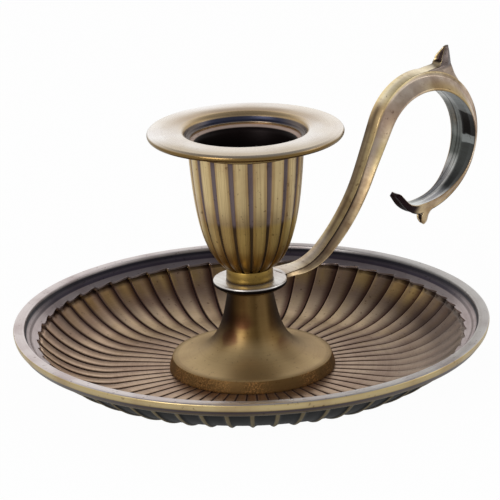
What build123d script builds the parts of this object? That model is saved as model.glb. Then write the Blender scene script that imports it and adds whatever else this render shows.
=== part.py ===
"""Chamberstick: a brass candle cup with a drip flange on a bell foot, clamped to a fluted dish
by one tie screw, with a cast finger loop held between foot and cup.

Millimetres, +Z up. The origin is on the candle's axis at the table, under the dish.
The finger loop stands in the XZ plane and points to +X.
"""

import math
import os

from build123d import *

os.makedirs("parts", exist_ok=True)

# Shared sizes
overrun = 1.0  # how far a cutter reaches past what it cuts
screw_radius = 2.0
screw_clearance = 0.15
bore_radius = screw_radius + screw_clearance

# Dish
tray_radius = 54.0
tray_height = 12.5
tray_floor = 1.0
tray_rim_land = 2.5
tray_rim_step = 0.4
tray_rim_edge = 1.5
tray_rim_draft = 0.3
tray_cove_width = 3.3  # from the rim's land in to the ends of the flutes
tray_flute_drop = 3.2  # from the rim's top down to the ends of the flutes
tray_flute_run = 17.0  # the rising part of a flute, across
tray_flute_count = 57
tray_flute_turn = 2.45  # degrees from +X to the first groove
tray_groove_width = 1.0
tray_groove_depth = 0.5
tray_groove_start_depth = 0.15
tray_groove_lap = 1.5  # the grooves start this far under the foot's edge
tray_ledge_step = 0.35  # the moulding stands this much above the flutes
tray_neck_height = 1.6  # hollow moulding under the rim's edge
tray_neck_depth = 1.2
tray_wall_step = 1.6
tray_wall_run = 21.4  # from the flat underside out to the top of the wall
tray_panel_depth = 0.45
tray_panel_lead = 3.5  # the panels start this far out from the flat underside
tray_panel_share = 0.74  # part of each pitch that is sunk between two ribs
tray_rib_share = 0.59  # where the rib lies between two grooves
kick_height = 6.6  # the centre is pressed up to hold the nut
kick_wall = 1.0
kick_gap = 0.4  # round the washer
kick_flare = 2.0

# Foot
foot_radius = 18.9
foot_height = 19.65
foot_step = 2.8
foot_step_draft = 0.8
foot_wall = 2.2
foot_neck_radius = 5.0
foot_plate_radius = 7.2
foot_plate = 0.7
foot_ceiling = 3.2  # thickness of metal over the hollow
foot_brim_handle_share = (0.18, 0.05)  # pulls of the bell curve, across and up
foot_neck_handle_share = (0.12, 0.45)
foot_hollow_radius = 3.4

# Handle
collar_reach = 1.15  # past the foot's plate
collar_thickness = 1.25
loop_width = 9.4  # inner face at its widest
loop_face = 3.5  # outer face along the stem
loop_thickness = 4.15
root_inset = 1.05  # the band starts this far inside the collar's edge
root_run = 4.8
root_bend = 13.4
root_turn = 40
stem_bend = 44.6
stem_turn = 25
stem_run = 12.6
shoulder_bend = 13.7
front_bend = 14.9
back_bend = 16.0
tail_bend = 6.3
tail_turn = 52
tail_run = 3.3
quarter_turn = 90
band_stations = 40
band_groove = 0.35  # under the edges of the outer face
band_hollow = 0.35  # of the inner face
tail_hollow = 0.4  # of the outer face at the tail, which is crowned elsewhere
band_lip_share = 0.12
# station along the band, inner width, outer width, thickness, groove and tail hollow
band_shares = (
    (0.0, 0.58, 1.60, 0.29, 0.0, -0.3),
    (0.05, 0.58, 1.28, 0.34, 0.7, -0.3),
    (0.10, 0.60, 1.06, 0.45, 1.0, -0.3),
    (0.18, 0.66, 0.97, 0.53, 1.0, -0.3),
    (0.29, 0.74, 1.0, 0.55, 0.7, -0.3),
    (0.37, 0.83, 1.06, 0.69, 0.2, -0.3),
    (0.45, 0.89, 1.11, 0.87, 0.0, -0.3),
    (0.52, 0.91, 1.14, 1.0, 0.0, -0.3),
    (0.60, 0.97, 1.09, 0.95, 0.0, -0.3),
    (0.66, 1.0, 1.03, 0.83, 0.0, -0.3),
    (0.71, 0.98, 0.97, 0.75, 0.0, -0.3),
    (0.79, 0.83, 0.91, 0.68, 0.0, -0.3),
    (0.86, 0.56, 0.77, 0.64, 0.0, -0.3),
    (0.92, 0.45, 0.66, 0.65, 0.0, -0.3),
    (0.96, 0.42, 0.97, 0.34, 0.0, 1.0),
    (1.0, 0.34, 0.80, 0.27, 0.0, 0.5),
)

# Thumb spur on top of the loop and the small spur under it. Each outline is a list of strokes
# from a place on the band, in shares of the spur's size, and each leaf is half a front view.
spur_size = 8.0
spur_station = 0.575
spur_side_shares = (
    ((-0.79, 0.42), (-0.48, 0.48), (-0.21, 0.51)),
    ((-0.21, 0.51), (-0.11, 0.64), (-0.07, 0.76), (0.05, 0.91), (0.16, 1.01), (0.27, 1.04)),
    ((0.27, 1.04), (0.29, 0.88), (0.29, 0.71), (0.32, 0.49), (0.46, 0.16), (0.62, -0.09)),
    ((0.62, -0.09), (0.40, -0.16)),
    ((0.40, -0.16), (0.0, 0.0)),
    ((0.0, 0.0), (-0.79, 0.21)),
    ((-0.79, 0.21), (-0.79, 0.42)),
)
spur_leaf_shares = ((0.24, -0.3), (0.225, 0.5), (0.19, 0.72), (0.11, 0.90), (0.02, 1.06))
spur_scoop_side_shares = (
    ((-0.5, 0.60), (-0.05, 0.60)),
    ((-0.05, 0.60), (-0.01, 0.73), (0.08, 0.86), (0.19, 0.95)),
    ((0.19, 0.95), (0.0, 1.2)),
    ((0.0, 1.2), (-0.5, 0.60)),
)
spur_scoop_leaf_shares = ((0.15, 0.58), (0.13, 0.73), (0.07, 0.86), (0.01, 0.97))
low_spur_size = 5.0
low_spur_station = 0.90
low_spur_side_shares = (
    ((-0.34, -0.09), (-0.33, -0.45)),
    ((-0.33, -0.45), (-0.32, -0.67), (-0.26, -0.87), (-0.18, -0.95)),
    ((-0.18, -0.95), (-0.08, -0.84), (-0.07, -0.70), (-0.02, -0.49), (0.12, -0.35), (0.6, -0.17)),
    ((0.6, -0.17), (0.5, 0.03)),
    ((0.5, 0.03), (-0.34, -0.09)),
)
low_spur_leaf_shares = ((0.26, 0.1), (0.24, -0.4), (0.19, -0.67), (0.09, -0.87), (0.02, -0.96))
low_spur_scoop_side_shares = (
    ((-0.7, -0.45), (-0.25, -0.45)),
    ((-0.25, -0.45), (-0.24, -0.64), (-0.19, -0.80)),
    ((-0.19, -0.80), (-0.7, -0.80)),
    ((-0.7, -0.80), (-0.7, -0.45)),
)
low_spur_scoop_leaf_shares = ((0.16, -0.43), (0.12, -0.65), (0.01, -0.84))

# Neck ring, cup and drip flange
neck_radius = 5.25
neck_height = 2.8
neck_flare = 0.1
cup_base_radius = 5.3
cup_wall = 2.0  # at the rim
cup_height = 29.8
cup_floor = 3.0
cup_flute_count = 18
cup_flute_turn = 17.6
cup_groove_angle = 4.7
cup_groove_depth = 0.35
cup_groove_base = 1.2
cup_low_handle_share = (0.817, 0.121)
cup_high_handle_share = (0.929, 0.461)
socket_radius = 11.1  # for a 22 mm candle
socket_depth = 11.5
socket_flare = 0.8  # of the mouth above the socket
socket_lead = 1.6
well_gap = 0.5  # round the washer in the cup
flange_reach = 8.9  # past the cup's rim
flange_thickness = 1.6
flange_rise = 2.5  # top of the flange above the cup's rim
flange_throat = 1.6
flange_ledge = 0.7
flange_ledge_reach = 0.85
flange_hub_depth = 1.6
flange_hub_wall = 1.2
flange_clearance = 0.15

# Fasteners
head_radius = 3.6
head_height = 2.3
slot_width = 1.0
slot_depth = 1.1
cup_washer_radius = 4.5
cup_washer_thickness = 0.8
tray_washer_radius = 4.6
tray_washer_thickness = 0.8
lock_washer_radius = 3.5
lock_washer_thickness = 0.9
lock_washer_gap = 0.8
nut_flats = 7.0
nut_height = 3.2
nut_chamfer = 0.4
screw_tip = 0.4

# Heights of the stack
foot_base = tray_floor
collar_base = foot_base + foot_height
neck_base = collar_base + collar_thickness
cup_base = neck_base + neck_height
cup_top = cup_base + cup_height


def share_point(origin, shares, scale):
    """A point at a share of a size from an origin, across and up."""
    return (origin[0] + shares[0] * scale[0], origin[1] + shares[1] * scale[1])


def share_strokes(origin, strokes, size):
    """Strokes given in shares of a size, placed from an origin."""
    return [[share_point(origin, point, (size, size)) for point in stroke] for stroke in strokes]


def draw_strokes(strokes):
    """Draw strokes that meet end to end: straight with two points, smooth with more."""
    for stroke in strokes:
        if len(stroke) == 2:
            Line(*stroke)
        else:
            Spline(*stroke)


def leaf_prism(side, leaf, width, length):
    """A solid with a side view in XZ and a symmetric front view in YZ, half of which is given."""
    other = [(-y, z) for y, z in reversed(leaf)]
    with BuildPart() as prism:
        with BuildSketch(Plane.XZ):
            with BuildLine():
                draw_strokes(side)
            make_face()
        extrude(amount=width, both=True)
        with BuildSketch(Plane.YZ):
            with BuildLine():
                draw_strokes([leaf, [leaf[-1], other[0]], other, [other[-1], leaf[0]]])
            make_face()
        extrude(amount=length, mode=Mode.INTERSECT)
    return prism.part


def band_slope(row, column):
    """How fast a size of the band changes along it at a row of the table."""
    before = band_shares[max(row - 1, 0)]
    after = band_shares[min(row + 1, len(band_shares) - 1)]
    return (after[column] - before[column]) / (after[0] - before[0])


def band_share(station, column):
    """A size of the band at a share of its length, on a smooth curve through the table's rows."""
    row = max(k for k in range(len(band_shares) - 1) if band_shares[k][0] <= station)
    low = band_shares[row]
    high = band_shares[row + 1]
    span = high[0] - low[0]
    part = (station - low[0]) / span
    start = band_slope(row, column) * span
    end = band_slope(row + 1, column) * span
    rise = high[column] - low[column]
    square = part**2 * (3 * rise - 2 * start - end)
    cube = part**3 * (start + end - 2 * rise)
    return low[column] + part * start + square + cube


# Cutters of the dish: narrow grooves inside, sunk panels between ribs outside
tray_flute_radius = tray_radius - tray_rim_land - tray_cove_width
tray_flute_height = tray_height - tray_flute_drop
tray_rise_radius = tray_flute_radius - tray_flute_run
tray_groove_start = foot_radius - tray_groove_lap
tray_wall_radius = tray_radius - tray_rim_draft - tray_neck_depth - tray_wall_step
tray_wall_height = tray_height - tray_rim_edge - tray_neck_height
tray_rest_radius = tray_wall_radius - tray_wall_run
tray_panel_start = tray_rest_radius + tray_panel_lead
cutter_radius = tray_radius + overrun
groove_half_turn = tray_groove_width / tray_flute_radius / 2
pitch_turn = 2 * math.pi / tray_flute_count
panel_half_turn = pitch_turn * tray_panel_share / 2

with BuildSketch() as groove_rays:
    with PolarLocations(0, tray_flute_count, start_angle=tray_flute_turn):
        Polygon(
            (tray_groove_start, -tray_groove_start * groove_half_turn),
            (cutter_radius, -cutter_radius * groove_half_turn),
            (cutter_radius, cutter_radius * groove_half_turn),
            (tray_groove_start, tray_groove_start * groove_half_turn),
        )

with BuildPart() as tray_grooves:
    with BuildSketch(Plane.XZ):
        with BuildLine():
            start = (tray_groove_start, tray_floor - tray_groove_start_depth)
            rise = (tray_rise_radius, tray_floor - tray_groove_start_depth)
            end = (tray_flute_radius, tray_flute_height - tray_groove_depth)
            flat = Line(start, rise)
            TangentArc(rise, end, tangent=flat % 1)
            Line(end, (tray_flute_radius, tray_flute_height + overrun))
            Line((tray_flute_radius, tray_flute_height + overrun), (tray_groove_start, tray_floor + overrun))
            Line((tray_groove_start, tray_floor + overrun), start)
        make_face()
    revolve(axis=Axis.Z)
    extrude(groove_rays.sketch, amount=tray_height + overrun, mode=Mode.INTERSECT)

rib_turn = tray_flute_turn + tray_rib_share * math.degrees(pitch_turn)
panel_turn = rib_turn + math.degrees(pitch_turn) / 2

with BuildSketch() as panel_rays:
    with PolarLocations(0, tray_flute_count, start_angle=panel_turn):
        Polygon(
            (tray_panel_start, -tray_panel_start * panel_half_turn),
            (cutter_radius, -cutter_radius * panel_half_turn),
            (cutter_radius, cutter_radius * panel_half_turn),
            (tray_panel_start, tray_panel_start * panel_half_turn),
        )

with BuildPart() as tray_panels:
    with BuildSketch(Plane.XZ):
        with BuildLine():
            start = (tray_rest_radius, 0)
            end = (tray_wall_radius - tray_panel_depth, tray_wall_height)
            outer = (tray_wall_radius + overrun, tray_wall_height)
            TangentArc(start, end, tangent=(1, 0))
            Line(end, outer)
            Line(outer, (tray_wall_radius + overrun, -overrun))
            Line((tray_wall_radius + overrun, -overrun), (tray_rest_radius, -overrun))
            Line((tray_rest_radius, -overrun), start)
        make_face()
    revolve(axis=Axis.Z)
    extrude(panel_rays.sketch, amount=tray_height, mode=Mode.INTERSECT)

# Dish
with BuildPart() as tray:
    with BuildSketch(Plane.XZ):
        with BuildLine():
            rim_inner = tray_radius - tray_rim_land
            kick_ceiling = kick_height - kick_wall
            kick_inner = tray_washer_radius + kick_gap
            kick_radius = kick_inner + kick_wall
            edge_low = (tray_radius - tray_rim_draft, tray_height - tray_rim_edge)
            cove_low = (edge_low[0] - tray_neck_depth, tray_wall_height)
            rise = (tray_rise_radius, tray_floor)
            flute_end = (tray_flute_radius, tray_flute_height)
            ledge = (tray_flute_radius, tray_flute_height + tray_ledge_step)
            cove_top = (rim_inner, tray_height - tray_rim_step)
            wall = (tray_wall_radius, tray_wall_height)
            Line((bore_radius, kick_height), (kick_radius, kick_height))
            Line((kick_radius, kick_height), (kick_radius + kick_flare, tray_floor))
            flat = Line((kick_radius + kick_flare, tray_floor), rise)
            TangentArc(rise, flute_end, tangent=flat % 1)
            Line(flute_end, ledge)
            SagittaArc(ledge, cove_top, -tray_rim_step)
            Line(cove_top, (rim_inner, tray_height))
            Line((rim_inner, tray_height), (tray_radius, tray_height))
            Line((tray_radius, tray_height), edge_low)
            SagittaArc(edge_low, cove_low, -tray_rim_step)
            Line(cove_low, wall)
            TangentArc((tray_rest_radius, 0), wall, tangent=(1, 0))
            Line((tray_rest_radius, 0), (kick_inner + kick_flare, 0))
            Line((kick_inner + kick_flare, 0), (kick_inner, kick_ceiling))
            Line((kick_inner, kick_ceiling), (bore_radius, kick_ceiling))
            Line((bore_radius, kick_ceiling), (bore_radius, kick_height))
        make_face()
    revolve(axis=Axis.Z)
    add(tray_grooves.part, mode=Mode.SUBTRACT)
    add(tray_panels.part, mode=Mode.SUBTRACT)

# Foot
with BuildPart() as foot:
    with BuildSketch(Plane.XZ):
        with BuildLine():
            base = foot_base
            brim = (foot_radius - foot_step_draft, base + foot_step)
            plate_base = base + foot_height - foot_plate
            neck = (foot_neck_radius, plate_base)
            span = (brim[0] - neck[0], neck[1] - brim[1])
            brim_pull = share_point((neck[0], brim[1]), foot_brim_handle_share, span)
            neck_pull = share_point((neck[0], brim[1]), foot_neck_handle_share, span)
            Line((foot_radius - foot_wall, base), (foot_radius, base))
            Line((foot_radius, base), brim)
            Bezier(brim, brim_pull, neck_pull, neck)
            Line(neck, (foot_plate_radius, plate_base))
            Line((foot_plate_radius, plate_base), (foot_plate_radius, base + foot_height))
            Line((foot_plate_radius, base + foot_height), (bore_radius, base + foot_height))
            ceiling = base + foot_height - foot_ceiling
            Line((bore_radius, base + foot_height), (bore_radius, ceiling))
            Line((bore_radius, ceiling), (foot_hollow_radius, ceiling))
            inner_brim = (foot_radius - foot_wall, base + foot_step - foot_step_draft)
            inner_span = (inner_brim[0] - foot_hollow_radius, ceiling - inner_brim[1])
            low_pull = share_point((foot_hollow_radius, inner_brim[1]), foot_brim_handle_share, inner_span)
            high_pull = share_point((foot_hollow_radius, inner_brim[1]), foot_neck_handle_share, inner_span)
            Bezier((foot_hollow_radius, ceiling), high_pull, low_pull, inner_brim)
            Line(inner_brim, (foot_radius - foot_wall, base))
        make_face()
    revolve(axis=Axis.Z)

# Handle: the path of its band, then the band as a loft through sections square to the path
collar_radius = foot_plate_radius + collar_reach
root = (collar_radius - root_inset, collar_base + collar_thickness / 2)

with BuildLine(Plane.XZ) as band_path:
    first = Line(root, (root[0] + root_run, root[1]))
    rise = JernArc(first @ 1, first % 1, root_bend, root_turn)
    stem = JernArc(rise @ 1, rise % 1, stem_bend, stem_turn)
    reach = Line(stem @ 1, (stem @ 1) + (stem % 1) * stem_run)
    shoulder = JernArc(reach @ 1, reach % 1, shoulder_bend, -(root_turn + stem_turn))
    front = JernArc(shoulder @ 1, shoulder % 1, front_bend, -quarter_turn)
    back = JernArc(front @ 1, front % 1, back_bend, -quarter_turn)
    tail = JernArc(back @ 1, back % 1, tail_bend, -tail_turn)
    Line(tail @ 1, (tail @ 1) + (tail % 1) * tail_run)

band_wire = band_path.wires()[0]
band_sections = []
for station in range(band_stations):
    place = station / (band_stations - 1)
    width = loop_width * band_share(place, 1) / 2
    face = loop_face * band_share(place, 2) / 2
    top = loop_thickness * band_share(place, 3) / 2
    groove = band_groove * band_share(place, 4)
    dip = tail_hollow * band_share(place, 5)
    side = [
        (face, top),
        (face - groove, top / 2),
        (width, 2 * top * band_lip_share - top),
        (width, -top),
        (width / 2, band_hollow - top),
    ]
    other = [(-across, up) for across, up in reversed(side)]
    plane = Plane(origin=band_wire @ place, x_dir=(0, 1, 0), z_dir=band_wire % place)
    with BuildSketch(plane) as section:
        Polygon((0, top - dip), *side, (0, band_hollow / 2 - top), *other)
    band_sections.append(section.sketch)

spur_place = band_wire @ spur_station
spur_origin = (spur_place.X, spur_place.Z)
low_spur_place = band_wire @ low_spur_station
low_spur_origin = (low_spur_place.X, low_spur_place.Z)
spur_length = spur_origin[0] + spur_size + overrun

spur = leaf_prism(
    share_strokes(spur_origin, spur_side_shares, spur_size),
    share_strokes((0, spur_origin[1]), [spur_leaf_shares], spur_size)[0],
    loop_width,
    spur_length,
)
spur_scoop = leaf_prism(
    share_strokes(spur_origin, spur_scoop_side_shares, spur_size),
    share_strokes((0, spur_origin[1]), [spur_scoop_leaf_shares], spur_size)[0],
    loop_width,
    spur_length,
)
low_spur = leaf_prism(
    share_strokes(low_spur_origin, low_spur_side_shares, low_spur_size),
    share_strokes((0, low_spur_origin[1]), [low_spur_leaf_shares], low_spur_size)[0],
    loop_width,
    spur_length,
)
low_spur_scoop = leaf_prism(
    share_strokes(low_spur_origin, low_spur_scoop_side_shares, low_spur_size),
    share_strokes((0, low_spur_origin[1]), [low_spur_scoop_leaf_shares], low_spur_size)[0],
    loop_width,
    spur_length,
)

with BuildPart() as handle:
    loft(sections=band_sections)
    with BuildSketch(Plane.XY.offset(collar_base)):
        Circle(collar_radius)
    extrude(amount=collar_thickness)
    add(spur)
    add(low_spur)
    add(spur_scoop, mode=Mode.SUBTRACT)
    add(low_spur_scoop, mode=Mode.SUBTRACT)
    with BuildSketch(Plane.XY.offset(collar_base)):
        Circle(bore_radius)
    extrude(amount=collar_thickness, mode=Mode.SUBTRACT)

# Neck ring
with BuildPart() as neck_ring:
    with BuildSketch(Plane.XZ):
        with BuildLine():
            Polyline(
                (bore_radius, neck_base),
                (neck_radius + neck_flare, neck_base),
                (neck_radius, neck_base + neck_height),
                (bore_radius, neck_base + neck_height),
                close=True,
            )
        make_face()
    revolve(axis=Axis.Z)

# Cup
cup_radius = socket_radius + cup_wall
socket_mouth_radius = socket_radius + socket_flare
cup_well_radius = cup_washer_radius + well_gap
cup_span = (cup_radius, cup_height)
cup_curve_points = (
    (cup_base_radius, cup_base),
    share_point((0, cup_base), cup_low_handle_share, cup_span),
    share_point((0, cup_base), cup_high_handle_share, cup_span),
    (cup_radius, cup_top),
)

with BuildSketch() as cup_rays:
    reach = cup_radius + overrun
    half = reach * math.tan(math.radians(cup_groove_angle) / 2)
    near = cup_base_radius - cup_groove_depth - cup_groove_base
    near_half = near * math.tan(math.radians(cup_groove_angle) / 2)
    with PolarLocations(0, cup_flute_count, start_angle=cup_flute_turn):
        Polygon((near, -near_half), (reach, -half), (reach, half), (near, near_half))

with BuildPart() as cup_grooves:
    with BuildSketch(Plane.XZ):
        with BuildLine():
            inner = [(r - cup_groove_depth, z) for r, z in cup_curve_points]
            Bezier(*inner)
            Line(inner[-1], (cup_radius + overrun, cup_top))
            Line((cup_radius + overrun, cup_top), (cup_radius + overrun, cup_base))
            Line((cup_radius + overrun, cup_base), inner[0])
        make_face()
    revolve(axis=Axis.Z)
    extrude(cup_rays.sketch, amount=cup_top + overrun, mode=Mode.INTERSECT)

with BuildPart() as cup:
    with BuildSketch(Plane.XZ):
        with BuildLine():
            socket_low = (socket_radius, cup_top - socket_lead - socket_depth)
            socket_high = (socket_radius, cup_top - socket_lead)
            well = (cup_well_radius, cup_base + cup_floor)
            Bezier(*cup_curve_points)
            Line((cup_radius, cup_top), (socket_mouth_radius, cup_top))
            Line((socket_mouth_radius, cup_top), socket_high)
            Line(socket_high, socket_low)
            TangentArc(socket_low, well, tangent=(0, -1))
            Line(well, (bore_radius, cup_base + cup_floor))
            Line((bore_radius, cup_base + cup_floor), (bore_radius, cup_base))
            Line((bore_radius, cup_base), (cup_base_radius, cup_base))
        make_face()
    revolve(axis=Axis.Z)
    add(cup_grooves.part, mode=Mode.SUBTRACT)

# Drip flange: its ledge rests on the cup's rim, and its hub fits round the cup
hub_bore = cup_radius + flange_clearance
hub_radius = hub_bore + flange_hub_wall
flange_radius = cup_radius + flange_reach
flange_top = cup_top + flange_rise
flange_low = flange_top - flange_thickness

with BuildPart() as drip_flange:
    with BuildSketch(Plane.XZ):
        with BuildLine():
            throat_low = (hub_bore, cup_top + flange_ledge)
            throat_high = (hub_bore + flange_throat, flange_top)
            ledge_bore = hub_bore - flange_ledge_reach
            RadiusArc(throat_low, throat_high, flange_throat + flange_throat / 2)
            edge_high = (flange_radius - flange_thickness / 2, flange_top)
            edge_low = (flange_radius - flange_thickness / 2, flange_low)
            Line(throat_high, edge_high)
            ThreePointArc(edge_high, (flange_radius, flange_top - flange_thickness / 2), edge_low)
            Line(edge_low, (hub_radius, flange_low))
            Line((hub_radius, flange_low), (hub_radius, cup_top - flange_hub_depth))
            Line((hub_radius, cup_top - flange_hub_depth), (hub_bore, cup_top - flange_hub_depth))
            Line((hub_bore, cup_top - flange_hub_depth), (hub_bore, cup_top))
            Line((hub_bore, cup_top), (ledge_bore, cup_top))
            Line((ledge_bore, cup_top), (ledge_bore, cup_top + flange_ledge))
            Line((ledge_bore, cup_top + flange_ledge), throat_low)
        make_face()
    revolve(axis=Axis.Z)

# Tie screw, washers and nut
head_base = cup_base + cup_floor + cup_washer_thickness
nut_top = kick_height - kick_wall - tray_washer_thickness - lock_washer_thickness
nut_base = nut_top - nut_height

with BuildPart() as tie_screw:
    with BuildSketch(Plane.XY.offset(nut_base - screw_tip)):
        Circle(screw_radius)
    extrude(amount=head_base - nut_base + screw_tip)
    with BuildSketch(Plane.XY.offset(head_base)):
        Circle(head_radius)
    extrude(amount=head_height)
    fillet(edges().group_by(Axis.Z)[-1], radius=head_height / 2)
    with BuildSketch(Plane.XY.offset(head_base + head_height)):
        Rectangle(head_radius + head_radius + overrun, slot_width)
    extrude(amount=-slot_depth, mode=Mode.SUBTRACT)

with BuildPart() as cup_washer:
    with BuildSketch(Plane.XY.offset(cup_base + cup_floor)):
        Circle(cup_washer_radius)
        Circle(bore_radius, mode=Mode.SUBTRACT)
    extrude(amount=cup_washer_thickness)

with BuildPart() as tray_washer:
    with BuildSketch(Plane.XY.offset(nut_top + lock_washer_thickness)):
        Circle(tray_washer_radius)
        Circle(bore_radius, mode=Mode.SUBTRACT)
    extrude(amount=tray_washer_thickness)

with BuildPart() as lock_washer:
    with BuildSketch(Plane.XY.offset(nut_top)):
        Circle(lock_washer_radius)
        Circle(bore_radius, mode=Mode.SUBTRACT)
        with Locations((lock_washer_radius, 0)):
            Rectangle(lock_washer_radius + overrun, lock_washer_gap, mode=Mode.SUBTRACT)
    extrude(amount=lock_washer_thickness)

with BuildPart() as tie_nut:
    with BuildSketch(Plane.XY.offset(nut_base)):
        RegularPolygon(nut_flats / 2, 6, major_radius=False)
    extrude(amount=nut_height)
    chamfer(faces().sort_by(Axis.Z)[0].edges(), length=nut_chamfer)
    with BuildSketch(Plane.XY.offset(nut_base)):
        Circle(screw_radius)
    extrude(amount=nut_height, mode=Mode.SUBTRACT)

pieces = {
    "tray": tray,
    "foot": foot,
    "handle": handle,
    "neck_ring": neck_ring,
    "cup": cup,
    "drip_flange": drip_flange,
    "tie_screw": tie_screw,
    "cup_washer": cup_washer,
    "tray_washer": tray_washer,
    "lock_washer": lock_washer,
    "tie_nut": tie_nut,
}

for label, piece in pieces.items():
    piece.part.label = label
    export_step(piece.part, f"parts/{label}.step")
    print(label, "solids", len(piece.part.solids()), "volume", round(piece.part.volume, 1))
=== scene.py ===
# %% [markdown]
# # A brass chamberstick, dressed in Blender
# The real object is a candle cup with a drip flange, a neck ring and a bell foot, clamped on a
# fluted dish by one long screw, with a cast finger loop held under the neck ring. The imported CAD
# model is loaded first: it fixes every size and place. What is added here is the skin that an eye
# sees: softened edges, grooves, and an aged brass finish made of shader nodes only.

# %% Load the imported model
import math

import bmesh
import bpy
import numpy as np
from mathutils import Matrix, Vector


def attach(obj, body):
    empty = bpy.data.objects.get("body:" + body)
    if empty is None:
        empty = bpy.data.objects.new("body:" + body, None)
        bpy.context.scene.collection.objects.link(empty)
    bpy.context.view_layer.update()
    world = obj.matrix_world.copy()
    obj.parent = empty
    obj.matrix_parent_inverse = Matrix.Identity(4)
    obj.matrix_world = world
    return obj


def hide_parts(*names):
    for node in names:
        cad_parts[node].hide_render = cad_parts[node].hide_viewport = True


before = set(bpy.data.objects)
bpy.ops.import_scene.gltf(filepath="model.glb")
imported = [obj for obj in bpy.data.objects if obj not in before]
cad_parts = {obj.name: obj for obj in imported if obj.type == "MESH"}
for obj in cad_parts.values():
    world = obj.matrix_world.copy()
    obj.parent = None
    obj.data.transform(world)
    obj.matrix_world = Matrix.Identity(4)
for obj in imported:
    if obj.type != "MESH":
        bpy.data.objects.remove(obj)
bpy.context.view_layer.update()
print("nodes", sorted(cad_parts))

# %% [markdown]
# ## The camera
# The photograph looks down at about eighteen degrees from the side where the loop is to the right.
# A long lens flattens the dish's ellipse, so the camera stands 0.6 m away. It is also turned a
# little about its own axis. Its three axes are worked out as vectors and become the columns of a
# matrix, which says more plainly what happens than three Euler angles would.

# %% Camera
camera_place = Vector((-0.34241, -0.47129, 0.22313))
camera_aim = Vector((0.00017, -0.00013, 0.02853))
camera_roll = -0.0305

ahead = (camera_aim - camera_place).normalized()
level = ahead.cross(Vector((0, 0, 1))).normalized()
upright = level.cross(ahead)
across = level * math.cos(camera_roll) + upright * math.sin(camera_roll)
tall = upright * math.cos(camera_roll) - level * math.sin(camera_roll)

lens = bpy.data.cameras.new("studio_camera")
lens.lens = 196.45
lens.sensor_width = 36
lens.clip_start = 0.01
lens.clip_end = 20
camera = bpy.data.objects.new("studio_camera", lens)
camera_axes = Matrix((across, tall, -ahead)).transposed().to_4x4()
camera.matrix_world = Matrix.Translation(camera_place) @ camera_axes
bpy.context.scene.collection.objects.link(camera)
bpy.context.scene.camera = camera
print("camera looks down by", round(math.degrees(math.asin(-ahead.z)), 1), "degrees")

# %% [markdown]
# ## Shader maths as Python expressions
# A finish is mostly arithmetic on the surface's coordinates. Wiring Math nodes by hand is slow and
# hard to read, so a small class wraps a socket: adding or multiplying two of them adds a Math node
# and returns its output. Everything that is not arithmetic comes from one method, `node`.

# %% Sockets that can be added and multiplied
class Signal:
    """A socket of a finish. Each operator adds one Math node and returns its output."""

    def __init__(self, finish, socket):
        self.finish = finish
        self.socket = socket

    def maths(self, operation, *others):
        """The output of a Math node that takes this socket and the others in their order."""
        sockets = dict(enumerate((self, *others)))
        return self.finish.node("ShaderNodeMath", {"operation": operation}, sockets)

    def __add__(self, other):
        return self.maths("ADD", other)

    def __sub__(self, other):
        return self.maths("SUBTRACT", other)

    def __mul__(self, other):
        return self.maths("MULTIPLY", other)

    def __truediv__(self, other):
        return self.maths("DIVIDE", other)

    def __rsub__(self, other):
        return self.finish.node("ShaderNodeMath", {"operation": "SUBTRACT"}, {0: other, 1: self})

    __radd__ = __add__
    __rmul__ = __mul__

    def __abs__(self):
        return self.maths("ABSOLUTE")

    def fraction(self):
        """What is left of a number when its whole part is taken off."""
        return self.maths("FRACT")

    def to_whole(self):
        """How far a number from 0 to 1 is from the nearer of the two."""
        return self.maths("PINGPONG", 0.5)

    def smooth(self, low, high):
        """0 below low, 1 above high and a soft step between them; high may be the lower one."""
        ends = (low, high, 0.0, 1.0) if low < high else (high, low, 1.0, 0.0)
        settings = {"interpolation_type": "SMOOTHSTEP"}
        return self.finish.node("ShaderNodeMapRange", settings, dict(enumerate((self, *ends))))

    def band(self, low, high, soft):
        """1 between low and high, fading to 0 over soft on each side."""
        return self.smooth(low - soft, low + soft) * self.smooth(high + soft, high - soft)

    def over(self, share, *colour):
        """This colour with another, a signal or a paint, laid over it as far as share says."""
        other = colour[0] if isinstance(colour[0], Signal) else paint(*colour)
        return self.finish.mix(share, self, other)

    def stained(self, share, *colour):
        """This colour multiplied by a paint as far as share says."""
        return self.finish.tint(share, self, paint(*colour))

    def between(self, first, second):
        """The first paint where this share is 0, the second where it is 1."""
        return self.finish.mix(self, paint(*first), paint(*second))


def paint(red, green, blue):
    """A colour as a picture shows it, 0 to 255, as the linear values that a shader takes."""
    shares = np.array((red, green, blue)) / 255
    linear = np.where(shares <= 0.04045, shares / 12.92, ((shares + 0.055) / 1.055) ** 2.4)
    return (*linear.tolist(), 1.0)


print("pale gold is", [round(value, 3) for value in paint(212, 188, 132)], "in linear values")

# %% [markdown]
# ### A finish is a material and its node tree
# Every finish starts from the surface's own place, so its patterns stay on the piece from every
# side. Turned pieces are coloured by their distance from the axis and their height. Some tones also
# change round the axis: these are painted light and shade, lighter or darker on the side that faces
# the right of the view or its back. Two directions in plan say where: one to the right and one to
# the back.

# %% Finish
to_the_right = (0.81, -0.59)
to_the_back = (0.59, 0.81)


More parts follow.
